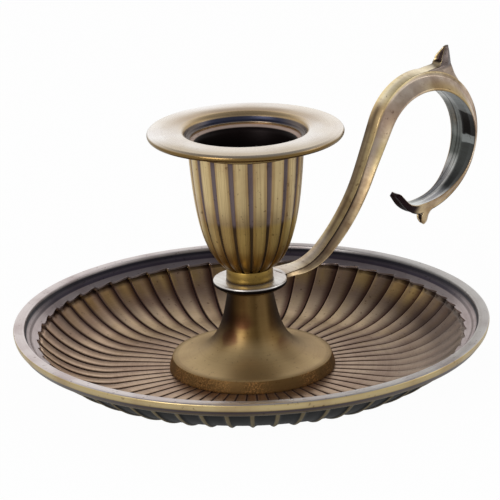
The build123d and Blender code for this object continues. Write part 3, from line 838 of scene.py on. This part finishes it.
# Painted shade on the outer part at the front.
front_edge_shade = flange_back.smooth(-0.004, -0.014) * flange_radius.smooth(0.0160, 0.0208)
flange_colour = flange_colour.stained(front_edge_shade, 204, 192, 172)
# Painted shade on the inner ring at the middle of the back.
back_middle_shade = flange_radius.smooth(0.0185, 0.0165) * flange_back.smooth(0.0125, 0.0155)
flange_colour = flange_colour.stained(back_middle_shade * 0.6, 190, 180, 168)
# The throat is dark, partly patina and partly painted shade; painted light makes its sides lighter.
throat = flange_radius.smooth(0.0147, 0.0145) * flange_finish.z.band(0.0550, 0.0561, 0.0002)
throat_lit_sides = abs(flange_right).smooth(0.007, 0.013)
throat_tone = throat_lit_sides.between((50, 52, 68), (112, 102, 96))
flange_colour = flange_colour.over(throat, throat_tone)
flange_brass = aged_brass(
    flange_finish, flange_colour, 1 - throat * 0.4, turned_brushing(flange_finish), 0.26, 0.1, 0.000002
)

# %% Drip flange
flange_skin = turned_skin("drip_flange_skin", flange_points, 192, flange_brass)
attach(flange_skin, "root")
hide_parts("drip_flange")

# %% [markdown]
# ## The cup
# The cup's outside is a bell too, with eighteen narrow grooves. Its inside is the straight socket
# for the candle with a rounded well under it, where the screw's head lies. The grooves are pushed
# in like the dish's. Here they stay the same share of the pitch, so they narrow with the bell, and
# the lands between them are slightly crowned.

# %% Cup: outline
cup_out = bell((5.3, 24.7), (10.7027, 28.3058), (12.1699, 38.4378), (13.1, 54.5), 70)
well_turn = np.radians(np.linspace(3, 48, 15))
well_radius = 18.434
cup_well = np.stack((well_radius * np.cos(well_turn) - 7.334, 41.4 - well_radius * np.sin(well_turn)), 1)
cup_in = np.array([(12.95, 54.5), (11.9, 54.5), (11.1, 52.9), (11.1, 48.0), (11.1, 41.4)])
cup_points = np.concatenate((cup_out, cup_in, cup_well, [(2.15, 27.7), (2.15, 24.7)]))
print("cup outline", len(cup_points), "points, socket", 2 * cup_in[-1][0], "mm wide")

# %% Cup: grooves
cup_flutes = 18
cup_pitch = 2 * math.pi / cup_flutes
cup_groove_at = math.radians(17.6)
cup_steps = np.array([
    0.0, 0.04, 0.08, 0.115, 0.15, 0.2, 0.3, 0.4,
    0.5, 0.6, 0.7, 0.8, 0.85, 0.885, 0.92, 0.96,
])
cup_angles, cup_place = fluted_angles(cup_flutes, cup_groove_at, cup_steps)
cup_away = np.minimum(cup_place, 1 - cup_place)
cup_groove_deep, cup_crown_deep = 0.35, 0.14
cup_dent = cup_groove_deep * (1 - soft_step(cup_away, 0.08, 0.17))
cup_dent = cup_dent + cup_crown_deep * (1 - soft_step(cup_away, 0.12, 0.5))
cup_row = np.arange(len(cup_points))
cup_push = (cup_row < len(cup_out) - 1)[:, None] * cup_dent
cup_grid = turned(pushed_in(cup_points, outline_normals(cup_points), cup_push), cup_angles)
print("cup grid", cup_grid.shape)

# %% [markdown]
# ### Colours of the cup
# The lands are pale gold. A painted reflection of the horizon crosses them: above it they are a
# little greyer and below it the patina in the grooves is browner. Painted light makes them lighter
# at the left, and painted shade darker beside every groove and toward the narrow bottom, where the
# dish is mirrored. Dirt has gathered in the grooves and in fine upright streaks. The socket is
# almost black, and its lip is rubbed bright.

# %% Cup finish
cup_finish = Finish("cup_brass")
cup_groove = ((cup_finish.turn - cup_groove_at) / cup_pitch).fraction().to_whole()
cup_inside = cup_finish.stored("inside")
# Painted reflection of the horizon at 37 to 38 mm: the lands are greyer above it.
cup_above_horizon = cup_finish.z.smooth(0.0368, 0.0382)
cup_land = cup_above_horizon.between((222, 196, 122), (206, 184, 136))
# Painted light on the left.
cup_lit_left = cup_finish.toward(to_the_right).smooth(-0.001, -0.010)
cup_land = cup_land.over(cup_lit_left * 0.5, 246, 222, 166)
# Painted shade: darker toward the narrow bottom, where the dish is mirrored.
cup_land = cup_land.stained(cup_finish.z.smooth(0.0315, 0.0270), 168, 152, 124)
# Painted shade on each land beside the grooves.
cup_land = cup_land.stained(cup_groove.smooth(0.36, 0.14) * 0.55, 170, 140, 115)
cup_streak = cup_finish.noise(cup_finish.encircle(45.0, cup_finish.z * 60), 1.0, 3.0)
cup_land = cup_land.stained(cup_streak.smooth(0.45, 0.65) * 0.5, 190, 176, 170)
cup_line = (cup_groove - cup_finish.z.smooth(0.027, 0.050) * 0.035).smooth(0.12, 0.065)
cup_line = cup_line * (1 - cup_inside)
# The grooves' patina, greyer above the painted horizon and browner below it.
groove_patina_and_reflection = cup_above_horizon.between((64, 50, 34), (108, 96, 98))
cup_colour = cup_land.over(cup_line, groove_patina_and_reflection)
lip = cup_finish.z.smooth(0.0539, 0.0542)
socket_tone = lip.between((20, 13, 13), (190, 168, 154))
cup_colour = cup_colour.over(cup_inside, socket_tone)
cup_belly = cup_finish.z.band(0.0310, 0.0362, 0.0020)
cup_worn = 1 - cup_line * 0.6 - cup_inside * 0.5 - cup_belly * 0.18
cup_brushing = cup_finish.encircle(300.0, cup_finish.z * 120)
cup_brass = aged_brass(cup_finish, cup_colour, cup_worn, cup_brushing, 0.32)

# %% Cup
cup_skin = skin("cup_skin", cup_grid, [cup_brass])
mark(cup_skin, "inside", cup_row >= len(cup_out))
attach(cup_skin, "root")
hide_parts("cup")

# %% [markdown]
# ## The finger loop
# The loop is one casting: a flat collar under the neck ring, and a band that rises from it, bends
# over and curls back. Its path is a row of arcs. Adding up how the heading turns along the path
# and then adding up the heading's cosine and sine gives every point of it. A softened section is
# carried along the path, and its sizes follow a smooth curve through a short table.


# %% Finger loop: path
def bend(radius, turn):
    """The length and the turn in degrees of an arc: its length is the radius times the turn in
    radians."""
    return radius * math.radians(abs(turn)), turn


def add_up(values):
    """The running sum of values along the fine path, each step by its two ends' mean."""
    return np.concatenate(([0], np.cumsum((values[1:] + values[:-1]) / 2 * step)))


band_runs = np.array([
    (4.8, 0), bend(13.4, 40), bend(44.6, 25), (12.6, 0), bend(13.7, -65),
    bend(14.9, -90), bend(16.0, -90), bend(6.3, -52), (3.3, 0),
])
run_ends = np.concatenate(([0], np.cumsum(band_runs[:, 0])))
heading_ends = np.radians(np.concatenate(([0], np.cumsum(band_runs[:, 1]))))
band_length = run_ends[-1]
fine = np.linspace(0, band_length, 20001)
step = fine[1] - fine[0]
fine_heading = np.interp(fine, run_ends, heading_ends)
fine_x = 7.3 + add_up(np.cos(fine_heading))
fine_z = 21.275 + add_up(np.sin(fine_heading))
print("band length", round(float(band_length), 1), "mm, height", round(float(fine_z.max()), 1), "mm")

# %% Finger loop: sizes along the path
# station, inner width, outer width, thickness, groove, hollow of the outer face
band_sizes = np.array([
    (0.0, 5.45, 5.60, 1.20, 0.0, -0.12), (0.05, 5.45, 4.48, 1.41, 0.25, -0.12),
    (0.10, 5.64, 3.71, 1.87, 0.35, -0.12), (0.18, 6.20, 3.40, 2.20, 0.35, -0.12),
    (0.29, 6.96, 3.50, 2.28, 0.25, -0.12), (0.37, 7.80, 3.71, 2.86, 0.07, -0.12),
    (0.45, 8.37, 3.89, 3.61, 0.0, -0.12), (0.52, 8.55, 3.99, 4.15, 0.0, -0.12),
    (0.60, 9.12, 3.82, 3.94, 0.0, -0.12), (0.66, 9.40, 3.61, 3.44, 0.0, -0.12),
    (0.71, 9.21, 3.40, 3.11, 0.0, -0.12), (0.79, 7.80, 3.19, 2.82, 0.0, -0.12),
    (0.86, 5.26, 2.70, 2.66, 0.0, -0.12), (0.92, 4.23, 2.31, 2.70, 0.0, -0.12),
    (0.96, 4.30, 3.80, 1.55, 0.0, 0.4), (1.0, 3.40, 3.00, 1.12, 0.0, 0.2),
])


def through_rows(table, stations, column):
    """A size at the stations, on a cubic Hermite curve through the table's rows: each row's slope
    is that of the line between its two neighbours."""
    at, size = table[:, 0], table[:, column]
    before = np.maximum(np.arange(len(at)) - 1, 0)
    after = np.minimum(np.arange(len(at)) + 1, len(at) - 1)
    slope = (size[after] - size[before]) / (at[after] - at[before])
    row = np.clip(np.searchsorted(at, stations, side="right") - 1, 0, len(at) - 2)
    span = at[row + 1] - at[row]
    t = (stations - at[row]) / span
    rise = size[row + 1] - size[row]
    start, end = slope[row] * span, slope[row + 1] * span
    return size[row] + t * start + t**2 * (3 * rise - 2 * start - end) + t**3 * (start + end - 2 * rise)


band_stations, last_station = 260, 0.992
band_at = np.linspace(0, last_station, band_stations)
band_along = band_at * band_length
band_x, band_z = np.interp(band_along, fine, fine_x), np.interp(band_along, fine, fine_z)
band_heading = np.interp(band_along, run_ends, heading_ends)
print("the band's tail ends at", round(float(band_x[-1]), 1), round(float(band_z[-1]), 1))

# %% [markdown]
# ### The section of the band
# The cast band has a narrow outer face, a groove down each flank near the collar, flared sides and
# a slightly hollow inner face. Its section has twelve corners, numbered from 0 at the middle of the
# outer face to 6 at the middle of the inner one and back again. All 260 sections are rounded at
# once: numpy treats them as one array of sections, corners and points.

# %% Finger loop: rounded sections
corner_points = 4


def rounded_sections(corners, reach):
    """Rounds every corner of many closed outlines at once. corners is (sections, corners, 2), and
    each corner becomes a quadratic curve from reach before it to reach after it, or less where
    the leg is short: a(1-t)^2 + 2ct(1-t) + bt^2."""
    back = np.roll(corners, 1, 1) - corners
    onward = np.roll(corners, -1, 1) - corners
    back_share = np.minimum(reach / np.linalg.norm(back, axis=2), 0.45)[..., None]
    onward_share = np.minimum(reach / np.linalg.norm(onward, axis=2), 0.45)[..., None]
    a, b = (corners + back * back_share)[:, :, None], (corners + onward * onward_share)[:, :, None]
    t = np.linspace(0, 1, corner_points)[:, None]
    curves = a * (1 - t) ** 2 + 2 * corners[:, :, None] * t * (1 - t) + b * t**2
    return curves.reshape(len(corners), -1, 2)


half_width, half_face, half_thick = (through_rows(band_sizes, band_at, k) / 2 for k in (1, 2, 3))
groove, dip = (through_rows(band_sizes, band_at, k) for k in (4, 5))
inner_dip = 0.35 * (1 - soft_step(band_at, 0.90, 0.96))
middle = np.zeros_like(half_width)
flank_corners = [
    (half_face, half_thick),
    (half_face - groove, half_thick / 2),
    (half_width, half_thick * -0.76),
    (half_width, -half_thick),
    (half_width / 2, inner_dip - half_thick),
]
other_flank = [(-y, z) for y, z in reversed(flank_corners)]
section_corners = [
    (middle, half_thick - dip), *flank_corners, (middle, inner_dip / 2 - half_thick), *other_flank,
]
corners = np.stack([np.stack(corner, -1) for corner in section_corners], 1)
sections = rounded_sections(corners, 0.22)
print("sections", sections.shape, "widest", round(float(2 * half_width.max()), 1), "mm")


# %% Finger loop: sections carried along the path
def closing_rings(ring, outward, lengths, shrinks):
    """Rings that close an end: each is the end ring drawn to its middle by a share and moved
    outward by a length. A share of 0 puts the whole ring on one point."""
    centre = ring.mean(0)
    rings = [centre + (ring - centre) * shrink + outward * far for far, shrink in zip(lengths, shrinks)]
    return np.stack(rings)


normal_x, normal_z = -np.sin(band_heading)[:, None], np.cos(band_heading)[:, None]
section_x = band_x[:, None] + normal_x * sections[..., 1]
section_z = band_z[:, None] + normal_z * sections[..., 1]
band_rings = np.stack((section_x, -sections[..., 0], section_z), -1)
tail_out = np.array([math.cos(band_heading[-1]), 0, math.sin(band_heading[-1])])
start_rings = closing_rings(band_rings[0], np.zeros(3), (0, 0, 0), (0.0, 0.5, 0.9))
tail_rings = closing_rings(
    band_rings[-1], tail_out, (0.15, 0.3, 0.42, 0.48, 0.48), (0.95, 0.85, 0.7, 0.45, 0.0)
)
band_grid = np.concatenate((start_rings, band_rings, tail_rings))
print("band grid", band_grid.shape)

# %% [markdown]
# ### Colours of the loop
# The outer face is brown on the stem; painted light makes it bright at the collar, and a painted
# highlight lightest on the bend. The flanks are tan, dark in the groove, with painted shade beside
# the groove and painted light at the bend. The edges between the two are rubbed to pale gold with a
# painted highlight, dimmed on the far side by painted shade. The inner face shows painted
# reflections of the table and the foot: grey bands of one height each. The thumb spur's sides and
# the collar's lower edge take painted shade. The finish knows where on the section it is from a
# number stored on the mesh, `around`, which counts the corners.

# %% Loop finish: outer face and flanks
loop_finish = Finish("loop_brass")
loop_x, loop_y, loop_z = loop_finish.x, loop_finish.y, loop_finish.z
around, hollow, worn_edge_highlight = (loop_finish.stored(name) for name in ("around", "hollow", "worn_edge_highlight"))
tail, scoop, flank = (loop_finish.stored(name) for name in ("tail", "scoop", "flank"))
# Painted light: the outer face is bright near the collar.
outer_tone = loop_z.smooth(0.0215, 0.0290).between((238, 226, 204), (110, 92, 68))
outer_tone = outer_tone.over(loop_z.smooth(0.040, 0.050), 128, 113, 88)
# Painted highlight on top of the bend.
bend_highlight = loop_z.smooth(0.0535, 0.0570) * loop_x.smooth(0.056, 0.052)
outer_tone = outer_tone.over(bend_highlight, 255, 240, 204)
side_tone = around.band(1.7, 2.5, 0.35).between((190, 170, 126), (182, 166, 150))
side_tone = side_tone.over(loop_z.smooth(0.046, 0.034), 208, 184, 144)
# Painted light on the flank at the bend and at its right end.
bend_side_light = loop_x.band(0.0375, 0.0490, 0.0040) * loop_z.smooth(0.0450, 0.0490)
bend_side_light = bend_side_light + loop_x.smooth(0.0605, 0.0630)
side_tone = side_tone.over(bend_side_light * 0.8, 236, 218, 198)
# Painted shade on the flank round the groove near the collar.
side_tone = side_tone.over(hollow * around.band(1.3, 2.6, 0.2) * 0.55, 84, 64, 66)
side_tone = side_tone.over(hollow * around.band(2.95, 3.4, 0.15), 214, 192, 150)
loop_colour = outer_tone.over(around.smooth(1.1, 1.25), side_tone)
print("outer face and flanks coloured")

# %% Loop finish: edges, stains and leaves
# The rubbed edges get a painted highlight, and painted shade dims them on the far side.
far_edge_shade = loop_y.smooth(0.0, 0.0006) * loop_z.band(0.0350, 0.0520, 0.0030)
loop_colour = loop_colour.over(worn_edge_highlight * (1 - far_edge_shade), 250, 228, 172)
loop_colour = loop_colour.stained(worn_edge_highlight * far_edge_shade, 176, 166, 150)
patches = loop_finish.noise(loop_finish.vector(loop_x * 160, loop_y * 60, loop_z * 160), 1.0, 3.0)
loop_colour = loop_colour.stained(patches.smooth(0.42, 0.6) * 0.5, 176, 154, 138)
loop_colour = loop_colour.over(scoop, 58, 46, 44)
# Painted shade on the upper sides of the thumb spur.
loop_colour = loop_colour.over(flank * loop_z.smooth(0.0600, 0.0618), 112, 101, 97)
print("edges, stains and leaves coloured")

# %% Loop finish: inner face
# Painted reflections on the inner face: bands of one height each, lighter low on the near half, with a
# dark line along its near edge.
wobble = loop_z + (loop_finish.noise(loop_finish.place, 260.0, 1.0) - 0.5) * 0.003
lines = loop_finish.noise(loop_finish.vector(loop_y * 3000, loop_z * 30, 0.0), 1.0, 1.0)
far_half_reflection = lines.smooth(0.35, 0.65).between((128, 130, 128), (204, 206, 202))
far_half_reflection = far_half_reflection.stained(wobble.band(0.0375, 0.0515, 0.0015), 174, 176, 174)
far_half_reflection = far_half_reflection.stained(wobble.band(0.0385, 0.0425, 0.0010), 190, 192, 190)
lit_low = wobble.smooth(0.038, 0.033) * loop_x.smooth(0.058, 0.054)
near_half_reflection = lit_low.between((62, 64, 62), (226, 229, 227))
near_half_reflection = near_half_reflection.over(wobble.band(0.0418, 0.0440, 0.0002), 136, 140, 138)
near_half_reflection = near_half_reflection.over(wobble.smooth(0.0438, 0.0442), 26, 24, 22)
near_half_reflection = near_half_reflection.over(wobble.smooth(0.0488, 0.0494), 120, 124, 122)
near_edge = around.smooth(4.35, 4.15) * wobble.band(0.034, 0.052, 0.001)
near_half_reflection = near_half_reflection.over(near_edge, 30, 24, 20)
near_half = loop_y.smooth(0.0010, 0.0002)
inner_reflection = far_half_reflection.over(near_half, near_half_reflection)
loop_colour = loop_colour.over(around.smooth(4.0, 4.2), inner_reflection)
print("inner face coloured")

# %% Loop finish: groove, tail and collar
loop_groove = hollow * around.band(1.55, 2.15, 0.15) * loop_z.smooth(0.041, 0.035)
loop_colour = loop_colour.over(loop_groove, 40, 28, 28)
loop_colour = loop_colour.over(tail, 36, 20, 22)
on_collar = loop_finish.radius.smooth(0.0086, 0.0084) * loop_z.smooth(0.0223, 0.0221)
loop_colour = loop_colour.over(on_collar, 232, 228, 222)
# Painted shade on the lower edge of the collar.
collar_under_shade = loop_finish.radius.band(0.0080, 0.0089, 0.0001) * loop_z.smooth(0.0218, 0.0214)
loop_colour = loop_colour.over(collar_under_shade, 34, 28, 28)
loop_brushing = loop_finish.vector(loop_x * 1500, loop_y * 150, loop_z * 1500)
loop_worn = 1 - loop_groove * 0.6 - tail * 0.8
loop_brass = aged_brass(loop_finish, loop_colour, loop_worn, loop_brushing, 0.32)

# %% [markdown]
# ### The band and its collar
# The band gets the numbers that its finish reads. A row of the grid is one section, so its station
# follows from its index, and a column belongs to one corner. Each number is a product of something
# that changes along the path and something that changes round the section.

# %% Finger loop
band_skin = skin("finger_loop_skin", band_grid, [loop_brass], (False, True))
section_count = len(section_corners)
point_places = (-0.12, -0.04, 0.04, 0.12)
corner_at = np.repeat(np.arange(section_count), corner_points) + np.tile(point_places, section_count)
around_at = np.minimum(np.abs(corner_at), section_count - corner_at)
station_of = (np.arange(len(band_grid)) - len(start_rings)) / (band_stations - 1)
station_of = np.clip(station_of, 0, 1)[:, None]
by_spur = soft_step(station_of, 0.49, 0.55) * (1 - soft_step(station_of, 0.62, 0.68))
mark(band_skin, "around", around_at + 0.5 * by_spur * ((around_at > 0.5) & (around_at < 1.5)))
edge_strength = 0.5 * soft_step(station_of, 0.02, 0.06) + 0.5 * soft_step(station_of, 0.30, 0.36)
edge_strength = edge_strength * (1 - soft_step(station_of, 0.47, 0.52))
mark(band_skin, "worn_edge_highlight", (np.abs(around_at - 1.0) < 0.13) * edge_strength)
groove_share = np.clip(through_rows(band_sizes, station_of, 4) / band_sizes[:, 4].max(), 0, 1)
mark(band_skin, "hollow", (groove_share * soft_step(station_of, 0.015, 0.05)).ravel())
tail_round = 1 - soft_step(around_at, 2.9, 3.9)
mark(band_skin, "tail", soft_step(station_of, 0.93, 0.95) * tail_round)
weld(band_skin)
print("joined at its two ends,", len(band_skin.data.vertices), "points are left")

# %% Collar
collar_points = outline([
    (2.15, 20.65, 0.05, 2), (8.35, 20.65, 0.4, 5), (8.35, 21.9, 0.4, 5), (2.15, 21.9, 0.05, 2),
])
collar_skin = turned_skin("collar_skin", collar_points, 144, loop_brass)

# %% [markdown]
# ## The two spurs
# A pointed leaf stands on top of the loop as a thumb rest, and a small one hangs under its end.
# Each has a scooped face with a raised edge. A leaf is built from level sections: a table gives,
# at each height, where its two faces are, how wide it is and how deep its scoop is.


# %% Leaves
def leaf(name, station, size, table, material, flank=1.0, steps=44):
    """A pointed leaf on the band. Each section has its faces at x from the table, half width w and
    a scoop that is let into the face towards the stem. The last section shrinks to a point. Flank
    is how much painted shade its sides take."""
    place = station * band_length
    origin_x, origin_z = np.interp(place, fine, fine_x), np.interp(place, fine, fine_z)
    table = np.array(table)
    heights = np.interp(np.linspace(0, len(table) - 1, steps), np.arange(len(table)), table[:, 0])
    near, far, wide, deep, hollow = (through_rows(table, heights, k) * size for k in range(1, 6))
    hollow = np.clip(hollow, 0.01, wide * 0.8)
    half = [
        (far, wide * 0.4),
        (near * 0.45 + far * 0.55, wide),
        (near, wide * 0.92),
        (near, np.minimum(hollow + 0.03 * size, wide * 0.8)),
        (near + deep, hollow * 0.6),
    ]
    rows = [*half, *[(x, -y) for x, y in reversed(half)]]
    sections = rounded_sections(np.stack([np.stack(row, -1) for row in rows], 1), 0.16)
    level_z = np.broadcast_to(origin_z + heights[:, None] * size, sections.shape[:2])
    grid = np.stack((origin_x + sections[..., 0], sections[..., 1], level_z), -1)
    root = closing_rings(grid[0], np.zeros(3), (0.0, 0.0), (0.0, 0.5))
    tip = closing_rings(grid[-1], np.zeros(3), (0.0, 0.0), (0.5, 0.0))
    piece = skin(name, np.concatenate((root, grid, tip)), [material], (False, True))
    corner = np.arange(grid.shape[1]) // corner_points
    folded = np.minimum(corner, len(rows) - 1 - corner)
    scooped = np.pad(soft_step(deep / size, 0.0, 0.04), len(root))[:, None]
    rise = np.pad(heights, len(root), "edge")[:, None]
    mark(piece, "scoop", scooped * (folded == 4))
    mark(piece, "worn_edge_highlight", scooped * (folded == 3) * 0.8)
    mark(piece, "flank", flank * soft_step(np.abs(rise), 0.12, 0.42) * (folded < 3))
    mark(piece, "around", 1 + (folded < 3) * np.ones_like(rise))
    weld(piece)
    return piece


# %% Spurs: tables
# height, face towards the stem, far face, half width, scoop depth and scoop half width, as shares
thumb_leaf = [
    (-0.09, -0.30, 0.62, 0.24, 0.0, 0.15), (0.16, -0.45, 0.46, 0.235, 0.0, 0.15),
    (0.36, -0.60, 0.375, 0.23, 0.0, 0.15), (0.42, -0.79, 0.35, 0.23, 0.0, 0.15),
    (0.48, -0.48, 0.325, 0.225, 0.0, 0.15), (0.51, -0.21, 0.315, 0.222, 0.0, 0.15),
    (0.58, -0.155, 0.305, 0.215, 0.01, 0.15), (0.64, -0.11, 0.30, 0.205, 0.07, 0.14),
    (0.76, -0.07, 0.29, 0.175, 0.08, 0.115), (0.86, 0.01, 0.29, 0.13, 0.08, 0.07),
    (0.91, 0.05, 0.288, 0.105, 0.07, 0.045), (0.97, 0.11, 0.28, 0.07, 0.03, 0.02),
    (1.01, 0.14, 0.28, 0.055, 0.0, 0.01), (1.04, 0.20, 0.275, 0.03, 0.0, 0.005),
]
under_leaf = [
    (-0.95, -0.21, -0.13, 0.04, 0.0, 0.005), (-0.87, -0.32, -0.04, 0.11, 0.0, 0.01),
    (-0.80, -0.37, 0.0, 0.15, 0.04, 0.03), (-0.67, -0.42, 0.03, 0.20, 0.07, 0.11),
    (-0.55, -0.43, 0.06, 0.22, 0.075, 0.14), (-0.47, -0.42, 0.10, 0.235, 0.07, 0.15),
    (-0.42, -0.40, 0.14, 0.24, 0.0, 0.15), (-0.35, -0.37, 0.20, 0.242, 0.0, 0.15),
    (-0.27, -0.35, 0.34, 0.245, 0.0, 0.15), (-0.17, -0.335, 0.55, 0.25, 0.0, 0.15),
    (-0.09, -0.34, 0.5, 0.255, 0.0, 0.15),
]
print(len(thumb_leaf), "rows for the thumb spur,", len(under_leaf), "for the lower one")

# %% Spurs
thumb_spur = leaf("thumb_spur_skin", 0.575, 8.0, thumb_leaf, loop_brass)
under_spur = leaf("under_spur_skin", 0.90, 5.0, under_leaf, loop_brass, 0.3)
for loop_piece in (band_skin, collar_skin, thumb_spur, under_spur):
    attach(loop_piece, "root")
    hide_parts("handle")

# %% [markdown]
# ## Steel fasteners
# The screw, the washers and the nut keep their CAD meshes, since only the screw's head shows, deep
# in the socket. They get a plated steel finish: the brass finish with a grey colour serves.

# %% Fasteners
steel_finish = Finish("plated_steel")
steel_brushing = steel_finish.vector(steel_finish.x * 900, steel_finish.y * 900, steel_finish.z * 900)
steel_tone = steel_finish.noise(steel_finish.place, 500.0)
steel_colour = steel_tone.smooth(0.4, 0.6).between((196, 194, 188), (160, 156, 148))
steel = aged_brass(steel_finish, steel_colour, steel_tone.smooth(0.0, 0.3), steel_brushing)
for fastener in ("tie_screw", "cup_washer", "tray_washer", "lock_washer", "tie_nut"):
    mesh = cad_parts[fastener].data
    mesh.materials.clear()
    mesh.materials.append(steel)
    print(fastener, len(mesh.polygons), "triangles, plated steel")
